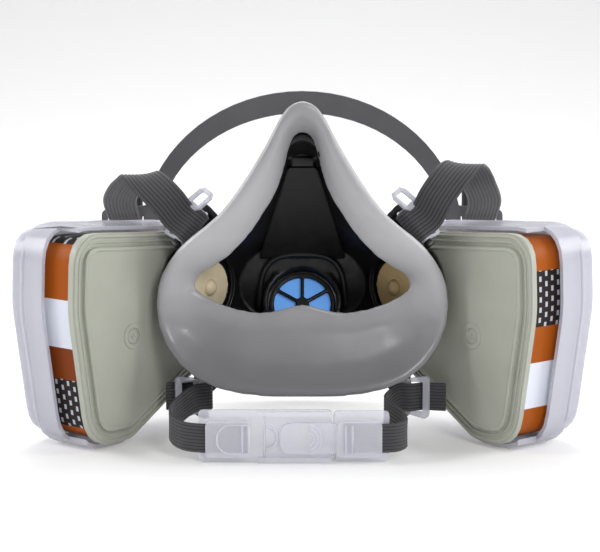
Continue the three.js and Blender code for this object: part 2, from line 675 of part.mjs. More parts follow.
// half turn round a buckle's barrel, from behind it to its front
function wrap(at, along, out, behind) {
  return Array.from({ length: 5 }, (_, i) => {
    const turn = (i * Math.PI) / 4;
    return fromBuckle(at, along, out, -WRAP_R * Math.sin(turn), behind * WRAP_R * Math.cos(turn));
  });
}

// the strap over the left cartridge stands `drop` lower than the one on the right
const upperRoute = (drop) => [
  fromBuckle(UPPER_BAR, UPPER_ALONG, UPPER_OUT, 8.6, -4),
  fromBuckle(UPPER_BAR, UPPER_ALONG, UPPER_OUT, 4.3, -WRAP_R),
  ...wrap(UPPER_BAR, UPPER_ALONG, UPPER_OUT, -1),
  fromBuckle(UPPER_BAR, UPPER_ALONG, UPPER_OUT, 4, 5.6),
  [56, 13, 104 - drop / 2, 0.85, -0.1, -0.5],
  [62.5, 17, 112.2 - drop, 0.97, 0, -0.2],
  [68.5, 24, 116 - drop, 1, 0, -0.05],
  [72, 33, 113.5 - drop, 1, 0, 0],
  [77, 47, 105.5 - drop / 3, 1, 0, 0],
  [81.5, 65, 96.5, 1, 0, 0],
  [82, 78, 90, 1, 0, 0],
  [81.5, 86, 85.3, 1, 0, 0],
  [81.5, 90, 84.3, 1, 0, 0],
  [81.5, 93.6, 86.5, 1, 0, 0],
  [81.5, 94.2, 92, 1, 0, 0],
  [81.5, 94, 101, 1, 0, 0],
];
const LEFT_DROP = 4.5;

const LOWER_RIGHT_ROUTE = [
  fromBuckle(LOWER_BAR, LOWER_ALONG, LOWER_OUT, 18.5, 3.4),
  fromBuckle(LOWER_BAR, LOWER_ALONG, LOWER_OUT, 12.5, 2.7),
  fromBuckle(LOWER_BAR, LOWER_ALONG, LOWER_OUT, 9.6, 2.2),
  fromBuckle(LOWER_BAR, LOWER_ALONG, LOWER_OUT, 6.8, -0.4),
  fromBuckle(LOWER_BAR, LOWER_ALONG, LOWER_OUT, 4.2, -2.8),
  fromBuckle(LOWER_BAR, LOWER_ALONG, LOWER_OUT, 0.5, -WRAP_R - 0.2),
  [37.2, 5.5, 18, 0, 0, 1],
  [34.3, -3, 17, 0, 0, 1],
  [36, -9, 15.4, 0, 0.1, 1],
  [40.5, -13.5, 12.8, 0, 0.1, 1],
  [42, -19.5, 11, 0, 0, 1],
  [38.5, -24, 10.5, 0, 0, 1],
  [33, -25.3, POCKET_Z, 0, 0, 1],
  [25, -25.3, POCKET_Z, 0, 0, 1],
  [16.2, -25.3, POCKET_Z, 0, 0, 1],
];

// written for the +X side and mirrored
const LOWER_LEFT_ROUTE = [
  fromBuckle(LOWER_BAR, LOWER_ALONG, LOWER_OUT, 15, 4.2),
  ...wrap(LOWER_BAR, LOWER_ALONG, LOWER_OUT, 1),
  fromBuckle(LOWER_BAR, LOWER_ALONG, LOWER_OUT, 5, -4.6),
  [50.5, -1.5, 17, 0, 0, 1],
  [54, -9, 14.4, 0, 0, 1],
  [53, -17, 12, 0, 0, 1],
  [48, -23, 10.8, 0, 0, 1],
  [40, -25.3, POCKET_Z, 0, 0, 1],
  [31, -25.3, POCKET_Z, 0, 0, 1],
  [22.2, -25.3, POCKET_Z, 0, 0, 1],
];
const STEPS_PER_STATION = 2;
const strap = (stations, width) =>
  solid(bar(...route(stations, (stations.length - 1) * STEPS_PER_STATION), width, STRAP_THICK));

// ---- neck clasp, drawn facing the wearer: local x along X, y up, z towards the wearer ---------
const inClaspFrame = (body) => placed(body, new THREE.Vector3(), X, Z, new THREE.Vector3(0, -1, 0));
const REAR = -CLIP_REAR_Y;
const FRONT = REAR + CLIP_PLATE;
const HOOK_X = 1.4;
const HOOK_R = 5.9;
const rectangle = (x0, y0, x1, y1, r) => roundedShape([[x0, y0, r], [x1, y0, r], [x1, y1, r], [x0, y1, r]]);

// pocket that takes the end of a strap between x0 and x1; the strap enters at `mouth`
function pocket(x0, x1, mouth) {
  const outline = rectangle(x0, POCKET_Z - POCKET_HALF, x1, POCKET_Z + POCKET_HALF, 2);
  const cover = slab(outline, FRONT - 0.5, FRONT + 4, 3);
  const end = mouth > 0 ? [x0 + 1.4, x1 + 2] : [x0 - 2, x1 - 1.4];
  const slot = box(
    [end[0], POCKET_Z - POCKET_SLOT_HALF, FRONT + GAP],
    [end[1], POCKET_Z + POCKET_SLOT_HALF, FRONT + 2.3],
  );
  return cut(cover, slot);
}

function neckClip() {
  const plate = slab(rectangle(CLIP_LEFT_X, 0, CLIP_SPLIT_X, CLIP_HEIGHT, 2), REAR, FRONT, 3);
  const mouth = pocket(CLIP_LEFT_X + 3, -20.8, -1);
  const rail = (low) => box([-18, low, REAR], [CLIP_SPLIT_X - 0.5, low + 2, FRONT + 2.4]);
  const rails = [0.3, CLIP_HEIGHT - 2.3].map(rail);
  const eye = cylinder(HOOK_R + 0.5, REAR - 1, FRONT + 1, HOOK_X, POCKET_Z);
  return inClaspFrame(cut(joined(plate, mouth, ...rails), eye));
}

function neckHook() {
  const plate = slab(rectangle(CLIP_SPLIT_X + 0.4, 0.4, CLIP_RIGHT_X, CLIP_HEIGHT - 0.4, 2), REAR, FRONT, 3);
  const mouth = pocket(CLIP_SPLIT_X + 2, 32, 1);
  const tongue = slab(rectangle(-9, 4, 16, 16.8, 5), FRONT + 0.4, FRONT + 2.4, 4);
  const peg = cylinder(HOOK_R, REAR - 0.8, FRONT + 1, HOOK_X, POCKET_Z);
  return inClaspFrame(joined(plate, mouth, cut(tongue, box([15, 0, 0], [20, 20, 40])), peg));
}

// ---- the object ------------------------------------------------------------------
addMesh(mask, 'face_seal', faceSeal(), SEAL);
addMesh(mask, 'inner_shell', innerShell(), BLACK);
addMesh(mask, 'exhalation_seat', exhalationSeat(), BLACK);
addMesh(mask, 'exhalation_flap', exhalationFlap(), BLUE);
addMesh(mask, 'exhalation_cover', exhalationCover(), BLACK);
addMesh(mask, 'harness_yoke', harnessYoke(), BLACK);
addMesh(mask, 'head_cradle', headCradle(), CRADLE);
addMesh(mask, 'neck_clip', neckClip(), CLEAR);
addMesh(mask, 'neck_hook', neckHook(), CLEAR);

[['right', 1], ['left', -1]].forEach(([name, side]) => {
  const onPort = portGroup(side);
  addMesh(onPort, `${name}_port`, port(), BLACK);
  addMesh(onPort, `${name}_port_gasket`, portGasket(), BLACK);
  addMesh(onPort, `${name}_inhalation_flap`, inhalationFlap(), TAN);
  addMesh(onPort, `${name}_cartridge_case`, cartridgeCase(), CASE);
  addMesh(onPort, `${name}_cartridge_socket`, cartridgeSocket(), CASE);
  addMesh(onPort, `${name}_charcoal_bed`, charcoalBed(), CARBON);
  addMesh(onPort, `${name}_outer_screen`, outerScreen(), CASE);
  addMesh(onPort, `${name}_label`, label(), LABEL);
  addMesh(onPort, `${name}_particulate_filter`, particulateFilter(), FIBRE);
  addMesh(onPort, `${name}_retainer`, retainer(), CLEAR);

  const sideGroup = new THREE.Group();
  sideGroup.scale.x = side;
  mask.add(sideGroup);
  addMesh(sideGroup, `${name}_upper_buckle`, upperBuckle(), CLEAR);
  addMesh(sideGroup, `${name}_lower_buckle`, lowerBuckle(), CLEAR);
  const drop = side > 0 ? 0 : LEFT_DROP;
  addMesh(sideGroup, `${name}_upper_strap`, strap(upperRoute(drop), UPPER_STRAP_WIDTH), WEBBING);
  const lowerRoute = side > 0 ? LOWER_RIGHT_ROUTE : LOWER_LEFT_ROUTE;
  addMesh(sideGroup, `${name}_lower_strap`, strap(lowerRoute, LOWER_STRAP_WIDTH), WEBBING);
});

export default mask;
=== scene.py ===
"""Half-face respirator mask, standing with its face side to the camera.

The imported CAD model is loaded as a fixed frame. Each rigid or rubber piece is a refined copy of
its CAD solid with soft edges, and the straps are swept as ribbed webbing along the routes that
the CAD straps follow. Beads and small panels add the moulded detail that the solids leave out.

Blender works in metres. The object's own sizes are written in millimetres; those of the camera,
the lamps, the backdrop and the materials' relief and print are in metres.
"""
import math

import bmesh
import bpy
from mathutils import Matrix, Vector
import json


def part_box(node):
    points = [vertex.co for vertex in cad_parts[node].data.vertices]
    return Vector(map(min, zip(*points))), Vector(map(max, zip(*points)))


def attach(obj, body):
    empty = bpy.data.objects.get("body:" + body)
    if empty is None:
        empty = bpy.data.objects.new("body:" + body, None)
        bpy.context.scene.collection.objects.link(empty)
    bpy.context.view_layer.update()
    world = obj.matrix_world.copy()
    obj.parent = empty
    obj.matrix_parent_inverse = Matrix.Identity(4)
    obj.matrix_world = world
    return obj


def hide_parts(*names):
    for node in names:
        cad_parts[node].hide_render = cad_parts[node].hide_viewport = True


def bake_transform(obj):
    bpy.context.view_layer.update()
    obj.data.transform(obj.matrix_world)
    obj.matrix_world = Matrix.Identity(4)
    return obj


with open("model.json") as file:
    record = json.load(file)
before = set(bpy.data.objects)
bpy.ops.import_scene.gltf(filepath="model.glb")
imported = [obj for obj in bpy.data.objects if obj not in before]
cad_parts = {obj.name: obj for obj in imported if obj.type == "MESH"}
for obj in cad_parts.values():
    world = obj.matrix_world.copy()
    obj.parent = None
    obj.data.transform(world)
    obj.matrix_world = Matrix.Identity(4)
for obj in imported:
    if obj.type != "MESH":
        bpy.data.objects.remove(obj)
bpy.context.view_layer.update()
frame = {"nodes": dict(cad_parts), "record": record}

MM = 0.001
SIDES = {"left": -1, "right": 1}  # each side's direction along X
BODY_OF_NODE = {
    node: body
    for body, nodes in frame["record"]["behaviour"]["bodies"].items()
    for node in nodes
}
SLOT_OF_NODE = {s["node"]: s["material_slot"] for s in frame["record"]["subparts"]}

# Routes and details are written in the mask's own frame, which the CAD frame moves along Y by this.
ORIGIN_Y = 33.4

# The right port: its centre, and the directions out of the mask and forward
PORT_POINT = Vector((49.7, 34, 63.4))
PORT_ANGLE = math.radians(38)
PORT_OUT = Vector((math.cos(PORT_ANGLE), math.sin(PORT_ANGLE), 0))
PORT_FORWARD = Vector((-math.sin(PORT_ANGLE), math.cos(PORT_ANGLE), 0))

# Camera, in metres
VIEW_ELEVATION = math.radians(9)
VIEW_DISTANCE = 0.7
VIEW_ANGLE = math.radians(20)
VIEW_TARGET = Vector((-0.001, -0.0334, 0.0725))

# Webbing, in mm
UPPER_WIDTH = 15
LOWER_WIDTH = 12
STRAP_THICK = 1.2
UPPER_RIDGES = 10
LOWER_RIDGES = 9
RIDGE_HEIGHT = 0.28
SAMPLES_PER_RIDGE = 6
EDGE_WIDTH = 0.6
EDGE_SHARE = 0.35  # thickness left at the very edge
STEPS_PER_STATION = 10


# ---------------------------------------------------------------- materials

GRAIN_DEPTH = 0.0002
WHITE = (1, 1, 1, 1)
BLACK = (0, 0, 0, 1)


class Look:
    """One node material: constant values on the shader, and noise for its detail."""

    def __init__(self, name, color, roughness):
        self.material = bpy.data.materials.new(name)
        self.material.use_nodes = True
        self.nodes = self.material.node_tree.nodes
        self.links = self.material.node_tree.links
        self.shader = self.nodes["Principled BSDF"]
        self.shader.inputs["Base Color"].default_value = (*color, 1)
        self.shader.inputs["Roughness"].default_value = roughness
        self.place = self.nodes.new("ShaderNodeTexCoord").outputs["Object"]
        self.color = color
        self.normal = None

    def set(self, **values):
        for socket, value in values.items():
            self.shader.inputs[socket.replace("_", " ")].default_value = value
        return self

    def node(self, kind, **inputs):
        """A new node; each input is a constant, or the output of another node."""
        node = self.nodes.new(f"ShaderNode{kind}")
        for name, value in inputs.items():
            socket = node.inputs[name.replace("_", " ")]
            if isinstance(value, bpy.types.NodeSocket):
                self.links.new(value, socket)
            else:
                socket.default_value = value
        return node

    def math(self, operation, *values):
        node = self.nodes.new("ShaderNodeMath")
        node.operation = operation
        for value, socket in zip(values, node.inputs):
            if isinstance(value, bpy.types.NodeSocket):
                self.links.new(value, socket)
            else:
                socket.default_value = value
        return node.outputs["Value"]

    def noise(self, scale, detail=3.0):
        return self.node("TexNoise", Scale=scale, Detail=detail, Vector=self.place).outputs["Fac"]

    def share_of_height(self, node):
        """Height on a CAD node, from 0 at its lowest point to 1 at its highest."""
        low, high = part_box(node)
        height = self.node("SeparateXYZ", Vector=self.place).outputs["Z"]
        share = self.node("MapRange", From_Min=low.z, From_Max=high.z, Value=height)
        return share.outputs["Result"]

    def ramp(self, value, stops, interpolation="LINEAR"):
        node = self.nodes.new("ShaderNodeValToRGB")
        node.color_ramp.interpolation = interpolation
        elements = node.color_ramp.elements
        while len(elements) > 1:
            elements.remove(elements[-1])
        elements[0].position = stops[0][0]
        elements[0].color = (*stops[0][1], 1)
        for position, color in stops[1:]:
            elements.new(position).color = (*color, 1)
        self.links.new(value, node.inputs["Fac"])
        return node.outputs["Color"]

    def colored(self, color):
        """Takes the base colour from another node's output."""
        self.links.new(color, self.shader.inputs["Base Color"])
        return self

    def mottle(self, scale, amount):
        """Slight colour variation around the base colour."""
        dark = tuple(c * (1 - amount) for c in self.color)
        light = tuple(min(1, c * (1 + amount)) for c in self.color)
        return self.colored(self.ramp(self.noise(scale), [(0.3, dark), (0.7, light)]))

    def rough(self, scale, low, high):
        """Roughness that varies over the surface between low and high."""
        stops = [(0.3, (low,) * 3), (0.7, (high,) * 3)]
        self.links.new(self.ramp(self.noise(scale), stops), self.shader.inputs["Roughness"])
        return self

    def bump(self, height, strength, distance=GRAIN_DEPTH):
        """Adds small relief on top of any that the material already has."""
        node = self.node("Bump", Strength=strength, Distance=distance, Height=height)
        if self.normal is not None:
            self.links.new(self.normal, node.inputs["Normal"])
        self.normal = node.outputs["Normal"]
        self.links.new(self.normal, self.shader.inputs["Normal"])
        return self

    def grain(self, scale, strength, distance=GRAIN_DEPTH):
        """The fine relief of a moulded surface."""
        return self.bump(self.noise(scale), strength, distance)


# Painted shade: grey of the seal at shares of its height, from the chin up, darker towards the chin and
# the nose
SEAL_SHADE_GREYS = [(0.12, 0.178), (0.3, 0.265), (0.45, 0.37), (0.6, 0.44), (0.8, 0.36), (1, 0.28)]
SEAL_BLOTCH = 0.12


def seal_look():
    """Silicone rubber with painted shade: its grey is darker towards the chin and the nose."""
    look = Look("seal rubber", (0.4, 0.397, 0.415), 0.34)
    look.set(Sheen_Weight=0.15, Specular_IOR_Level=0.5, Subsurface_Weight=0.05, Coat_Weight=0.12)
    look.set(Subsurface_Radius=(0.002, 0.002, 0.002))
    share = look.share_of_height("face_seal")
    uneven = look.math("MULTIPLY_ADD", look.noise(60), SEAL_BLOTCH, share)
    # Painted shade: these greys darken the seal towards the chin and the nose.
    shaded_greys = [(place, (grey, grey * 0.99, grey * 1.035)) for place, grey in SEAL_SHADE_GREYS]
    look.colored(look.ramp(uneven, shaded_greys))
    return look.rough(180, 0.28, 0.4).grain(2600, 0.06)


def shell_look():
    look = Look("shell plastic", (0.009, 0.0085, 0.0095), 0.42)
    look.set(Specular_IOR_Level=0.36)
    return look.mottle(120, 0.2).rough(300, 0.3, 0.46).grain(2400, 0.15)


def case_look():
    look = Look("cartridge plastic", (0.37, 0.38, 0.325), 0.5)
    return look.mottle(70, 0.04).rough(250, 0.42, 0.56).grain(3000, 0.12)


def clear_look(name, color, alpha):
    """Translucent plastic: a pale skin that what is behind it shows through."""
    look = Look(name, color, 0.22)
    look.set(Alpha=alpha, IOR=1.45, Specular_IOR_Level=0.6, Subsurface_Weight=0.1)
    look.set(Subsurface_Radius=(0.002, 0.002, 0.0025))
    return look.mottle(700, 0.01).rough(60, 0.18, 0.26)


def cradle_look():
    look = Look("cradle plastic", (0.11, 0.108, 0.116), 0.6)
    look.set(Specular_IOR_Level=0.25)
    return look.mottle(80, 0.06).rough(220, 0.52, 0.68).grain(2200, 0.2)


# Grey between the webbing's ribs and on them, at shares of a rib's height
WEBBING_TONES = [(0.1, (0.01, 0.01, 0.012)), (0.6, (0.054, 0.052, 0.057))]


def webbing_look():
    """Elastic webbing: broad grey ribs with dark lines between them, and a fine knit across."""
    look = Look("elastic webbing", (0.04, 0.04, 0.043), 0.85)
    look.set(Sheen_Weight=0.2)
    rib = look.nodes.new("ShaderNodeAttribute")
    rib.attribute_name = "ridge"
    look.colored(look.ramp(rib.outputs["Fac"], WEBBING_TONES))
    knit = look.node("TexWave", Scale=420, Distortion=1.2, Detail=2, Vector=look.place)
    return look.bump(knit.outputs["Fac"], 0.35).grain(4500, 0.35)


def rubber_look(name, color):
    look = Look(name, color, 0.4)
    return look.mottle(150, 0.06).rough(300, 0.3, 0.5).grain(1800, 0.1)


def blue_look():
    """Thin silicone: a faint glow stands for daylight that comes through from the mask's front."""
    look = rubber_look("blue silicone", (0.12, 0.42, 0.95))
    return look.set(Emission_Strength=0.36, Emission_Color=(0.17, 0.4, 0.95, 1))


def carbon_look():
    look = Look("carbon granules", (0.012, 0.012, 0.012), 0.9)
    return look.mottle(900, 0.6).grain(1500, 0.8, 0.0008)


def fibre_look():
    look = Look("filter fibre", (0.86, 0.86, 0.84), 0.95)
    look.set(Sheen_Weight=0.3)
    return look.mottle(300, 0.04).bump(look.noise(3200, 6), 0.5, 0.0003)


ORANGE = (0.34, 0.075, 0.003)
DARK_ORANGE = (0.19, 0.036, 0.003)
INK = (0.022, 0.016, 0.014)
PAPER = (0.68, 0.71, 0.8)

# Bands of each label from its lower edge up: share of the height where each one starts.
LABEL_BANDS = {
    "left": [(0, ORANGE), (0.07, INK), (0.31, DARK_ORANGE), (0.47, PAPER), (0.71, ORANGE), (0.97, INK)],
    "right": [(0, ORANGE), (0.17, PAPER), (0.4, ORANGE), (0.58, INK), (0.85, ORANGE)],
}

# Plain bars that stand where printing would be: spacing along and across, and half the gap, in m
BAR_SPACING_ALONG = 0.0042
BAR_SPACING_ACROSS = 0.0034
BAR_HALF_GAP = 0.0011
BAR_STRENGTH = 0.7


def label_look(side):
    """Printed label: plain bands of colour, with rows of bars on the dark ones."""
    look = Look(f"{side} label", ORANGE, 0.42)
    look.set(Specular_IOR_Level=0.12)
    share = look.share_of_height(f"{side}_label")
    bands = look.ramp(share, LABEL_BANDS[side], "CONSTANT")
    out = look.nodes.new("ShaderNodeVectorMath")
    out.operation = "DOT_PRODUCT"
    out.inputs[1].default_value = (SIDES[side] * PORT_OUT.x, PORT_OUT.y, 0)
    look.links.new(look.place, out.inputs[0])
    height = look.node("SeparateXYZ", Vector=look.place).outputs["Z"]
    on_label = look.node("CombineXYZ", X=height, Y=out.outputs["Value"]).outputs["Vector"]
    bars = look.node(
        "TexBrick", Vector=on_label, Color1=WHITE, Color2=WHITE, Mortar=BLACK, Scale=1,
        Mortar_Size=BAR_HALF_GAP, Brick_Width=BAR_SPACING_ALONG, Row_Height=BAR_SPACING_ACROSS,
    )
    strengths = [
        (start, (BAR_STRENGTH if color is INK else 0,) * 3) for start, color in LABEL_BANDS[side]
    ]
    printed = look.math("MULTIPLY", look.ramp(share, strengths, "CONSTANT"), bars.outputs["Color"])
    mix = look.nodes.new("ShaderNodeMix")
    mix.data_type = "RGBA"
    look.links.new(printed, mix.inputs["Factor"])
    look.links.new(bands, mix.inputs["A"])
    mix.inputs["B"].default_value = (*PAPER, 1)
    return look.colored(mix.outputs["Result"])


LOOKS = {
    "seal": seal_look(),
    "shell": shell_look(),
    "case": case_look(),
    "clear": clear_look("clear polypropylene", (0.6, 0.6, 0.68), 0.62),
    "webbing": webbing_look(),
    "cradle": cradle_look(),
    "flap_blue": blue_look(),
    "charcoal": carbon_look(),
    "filter": fibre_look(),
    "gasket": rubber_look("gasket rubber", (0.014, 0.014, 0.015)),
}
SIDE_LOOKS = {
    ("label", "left"): label_look("left"),
    ("label", "right"): label_look("right"),
    # The tan flaps are one rubber in lit and shaded copies: painted light makes the left lighter,
    # painted shade makes the right darker.
    ("flap_tan", "left"): rubber_look("left tan rubber painted light", (0.95, 0.82, 0.56)),
    ("flap_tan", "right"): rubber_look("right tan rubber painted shade", (0.66, 0.48, 0.24)),
}
CLASP_LOOK = clear_look("clear clasp plastic", (0.82, 0.82, 0.91), 0.42)


def look_of(node):
    """A node's material: by its slot, by slot and side, or the clasp's own."""
    if node.startswith("neck_"):
        return CLASP_LOOK.material
    slot = SLOT_OF_NODE[node]
    look = LOOKS.get(slot) or SIDE_LOOKS[slot, node.split("_")[0]]
    return look.material


# ---------------------------------------------------------------- pieces

def new_object(name, data):
    piece = bpy.data.objects.new(name, data)
    bpy.context.scene.collection.objects.link(piece)
    return piece


def shade(mesh, smooth=True):
    mesh.polygons.foreach_set("use_smooth", [smooth] * len(mesh.polygons))


def mesh_from(build, name):
    """Turns a finished bmesh into a mesh."""
    mesh = bpy.data.meshes.new(name)
    build.to_mesh(mesh)
    build.free()
    return mesh


def join_rings(build, one, two, turn=0):
    """Faces between two rings of vertices; turn shifts the second ring against the first."""
    count = len(one)
    for k in range(count):
        n = (k + 1) % count
        build.faces.new((one[k], one[n], two[(n + turn) % count], two[(k + turn) % count]))


def swept(build, rings):
    """Joins rings one after another and closes both ends."""
    for one, two in zip(rings, rings[1:]):
        join_rings(build, one, two)
    build.faces.new(rings[0])
    build.faces.new(list(reversed(rings[-1])))


def finished(piece, node):
    """Gives a piece the material of its node's slot, and lets it stand for its CAD node."""
    piece.data.materials.clear()
    piece.data.materials.append(look_of(node))
    shade(piece.data)
    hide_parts(node)
    return piece


def applied(piece):
    """The piece's mesh with its modifiers made permanent."""
    graph = bpy.context.evaluated_depsgraph_get()
    mesh = bpy.data.meshes.new_from_object(piece.evaluated_get(graph))
    piece.modifiers.clear()
    piece.data = mesh
    return piece


def refined(node, voxel, steps):
    """A copy of a CAD solid, remeshed evenly and relaxed so that its edges are softly rounded."""
    piece = new_object(f"{node}_fine", frame["nodes"][node].data.copy())
    remesh = piece.modifiers.new("even", "REMESH")
    remesh.mode = "VOXEL"
    remesh.voxel_size = voxel * MM
    remesh.use_smooth_shade = True
    relax = piece.modifiers.new("relax", "SMOOTH")
    relax.factor = 0.5
    relax.iterations = steps
    finished(applied(piece), node)
    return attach(piece, BODY_OF_NODE[node])


SAME_POINT = 0.01 * MM
SAME_PLANE = math.radians(1)
SHARP_EDGE = math.radians(32)


def bevelled(node, width):
    """A copy of a CAD solid with its flat faces joined up and its edges rounded."""
    mesh = frame["nodes"][node].data.copy()
    build = bmesh.new()
    build.from_mesh(mesh)
    bmesh.ops.remove_doubles(build, verts=build.verts, dist=SAME_POINT)
    bmesh.ops.dissolve_limit(build, angle_limit=SAME_PLANE, verts=build.verts, edges=build.edges)
    build.to_mesh(mesh)
    build.free()
    piece = new_object(f"{node}_fine", mesh)
    bevel = piece.modifiers.new("soft edges", "BEVEL")
    bevel.width = width * MM
    bevel.segments = 3
    bevel.limit_method = "ANGLE"
    bevel.angle_limit = SHARP_EDGE
    bevel.harden_normals = True
    normals = piece.modifiers.new("even shading", "WEIGHTED_NORMAL")
    normals.keep_sharp = True
    shade(mesh)
    finished(applied(piece), node)
    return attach(piece, BODY_OF_NODE[node])


# Hard moulded pieces: kind of node, and the width of its rounded edges in mm
BEVELLED = {
    "neck_clip": 0.35,
    "neck_hook": 0.35,
    "cartridge_case": 0.6,
    "cartridge_socket": 0.3,
    "outer_screen": 0.2,
    "label": 0.05,
    "retainer": 0.8,
    "upper_buckle": 0.3,
    "lower_buckle": 0.3,
    "head_cradle": 0.4,
}

# Soft or round pieces: kind of node, the size of its remesh in mm, and the steps of relaxing
REFINED = {
    "face_seal": (0.7, 70),
    "inner_shell": (0.6, 3),
    "exhalation_seat": (0.45, 2),
    "exhalation_flap": (0.35, 2),
    "exhalation_cover": (0.5, 2),
    "harness_yoke": (0.6, 3),
    "port": (0.5, 2),
    "port_gasket": (0.5, 2),
    "inhalation_flap": (0.35, 2),
    "charcoal_bed": (1.5, 2),
    "particulate_filter": (1.0, 6),
}


def refined_pieces():
    made = {}
    for node in frame["nodes"]:
        kind = node.split("_", 1)[1] if node.startswith(tuple(SIDES)) else node
        if kind in REFINED:
            made[node] = refined(node, *REFINED[kind])
        elif kind in BEVELLED:
            made[node] = bevelled(node, BEVELLED[kind])
    return made


# ---------------------------------------------------------------- straps

def placed(point, side=1):
    """A point of the mask's own frame in mm, as a point of the CAD frame in metres."""
    return Vector((side * point[0] * MM, (point[1] - ORIGIN_Y) * MM, point[2] * MM))


# The buckles' bars on the right side: centre, direction, and the way the strap leaves them
UPPER_BAR = Vector((46.8, 15, 91.5))
UPPER_ALONG = Vector((0.63, -0.22, -0.745)).normalized()
UPPER_OUT = Vector((0.395, -0.693, 0.601)).cross(UPPER_ALONG).normalized()
LOWER_BAR = Vector((42, 12, 19.5))
LOWER_ALONG = Vector((0, 0, 1))
LOWER_OUT = Vector((0.93, -0.37, 0)).normalized()
WRAP_RADIUS = 3.6
# Where the lower straps lie in the neck clasp
POCKET_Z = 10.4
POCKET_Y = -25.3
# How much lower the left upper strap hangs than the right one
LEFT_DROP = 4.5


def from_bar(bar, along, out, reach, lift):
    """A station beside a buckle's bar: the strap's centre, and the direction of its width."""
    face = along.cross(out)
    return bar + out * reach + face * lift, along


def wrap(bar, along, out, behind):
    """Half a turn round a buckle's bar."""
    return [
        from_bar(
            bar, along, out,
            -WRAP_RADIUS * math.sin(i * math.pi / 4),
            behind * WRAP_RADIUS * math.cos(i * math.pi / 4),
        )
        for i in range(5)
    ]


def station(x, y, z, across=(0, 0, 1)):
    """A station away from the buckles: the strap's centre, and the direction of its width."""
    return Vector((x, y, z)), Vector(across)


def upper_route(drop):
    place = (UPPER_BAR, UPPER_ALONG, UPPER_OUT)
    width = (1, 0, 0)
    return [
        from_bar(*place, 8.6, -4),
        from_bar(*place, 4.3, -WRAP_RADIUS),
        *wrap(*place, -1),
        from_bar(*place, 4, 5.6),
        station(56, 13, 104 - drop / 2, (0.85, -0.1, -0.5)),
        station(62.5, 17, 112.2 - drop, (0.97, 0, -0.2)),
        station(68.5, 24, 116 - drop, (1, 0, -0.05)),
        station(72, 33, 113.5 - drop, width),
        station(77, 47, 105.5 - drop / 3, width),
        station(81.5, 65, 96.5, width),
        station(82, 78, 90, width),
        station(81.5, 86, 85.3, width),
        station(81.5, 90, 84.3, width),
        station(81.5, 93.6, 86.5, width),
        station(81.5, 94.2, 92, width),
        station(81.5, 94, 101, width),
    ]


def lower_right_route():
    place = (LOWER_BAR, LOWER_ALONG, LOWER_OUT)
    return [
        from_bar(*place, 18.5, 3.4),
        from_bar(*place, 12.5, 2.7),
        from_bar(*place, 9.6, 2.2),
        from_bar(*place, 6.8, -0.4),
        from_bar(*place, 4.2, -2.8),
        from_bar(*place, 0.5, -WRAP_RADIUS - 0.2),
        station(37.2, 5.5, 18),
        station(34.3, -3, 17),
        station(36, -9, 15.4, (0, 0.1, 1)),
        station(40.5, -13.5, 12.8, (0, 0.1, 1)),
        station(42, -19.5, 11),
        station(38.5, -24, 10.5),
        station(33, POCKET_Y, POCKET_Z),
        station(25, POCKET_Y, POCKET_Z),
        station(16.2, POCKET_Y, POCKET_Z),
    ]


def lower_left_route():
    place = (LOWER_BAR, LOWER_ALONG, LOWER_OUT)
    return [
        from_bar(*place, 15, 4.2),
        *wrap(*place, 1),
        from_bar(*place, 5, -4.6),
        station(50.5, -1.5, 17),
        station(54, -9, 14.4),
        station(53, -17, 12),
        station(48, -23, 10.8),
        station(40, POCKET_Y, POCKET_Z),
        station(31, POCKET_Y, POCKET_Z),
        station(22.2, POCKET_Y, POCKET_Z),
    ]


def spline_point(points, t):
    """Centripetal Catmull-Rom, the same curve as the CAD strap's centre line."""
    at = t * (len(points) - 1)
    i = min(int(at), len(points) - 2)
    share = at - i
    before = points[i - 1] if i else 2 * points[0] - points[1]
    a, b = points[i], points[i + 1]
    after = points[i + 2] if i + 2 < len(points) else 2 * points[-1] - points[-2]
    d0, d1, d2 = (math.sqrt((q - p).length) for p, q in ((before, a), (a, b), (b, after)))
    start = ((a - before) / d0 - (b - before) / (d0 + d1) + (b - a) / d1) * d1
    end = ((b - a) / d1 - (after - a) / (d1 + d2) + (after - b) / d2) * d1
    s2, s3 = share * share, share ** 3
    return (
        a * (2 * s3 - 3 * s2 + 1) + start * (s3 - 2 * s2 + share)
        + b * (3 * s2 - 2 * s3) + end * (s3 - s2)
    )


def ribbed_profile(width, ridges):
    """The strap's section: narrow ridges on both faces, as (across, up, ridge) in mm."""
    count = ridges * SAMPLES_PER_RIDGE
    top = []
    for i in range(count + 1):
        across = -width / 2 + width * i / count
        ridge = abs(math.sin(math.pi * ridges * (across / width + 0.5)))
        edge = min(1, (width / 2 - abs(across)) / EDGE_WIDTH)
        share = EDGE_SHARE + (1 - EDGE_SHARE) * edge
        up = (STRAP_THICK / 2 - RIDGE_HEIGHT * (1 - ridge)) * share
        top.append((across, up, ridge))
    return top + [(across, -up, ridge) for across, up, ridge in reversed(top)]


def centre_line(stations):
    """Points along a route in mm, and the direction of the strap's width at each."""
    centres = [p for p, _ in stations]
    turns = [w.normalized() for _, w in stations]
    steps = STEPS_PER_STATION * (len(stations) - 1)
    line = []
    widths = []
    for i in range(steps + 1):
        t = i / steps
        at = t * (len(stations) - 1)
        low = min(int(at), len(stations) - 2)
        line.append(spline_point(centres, t))
        widths.append(turns[low].lerp(turns[low + 1], at - low).normalized())
    return line, widths


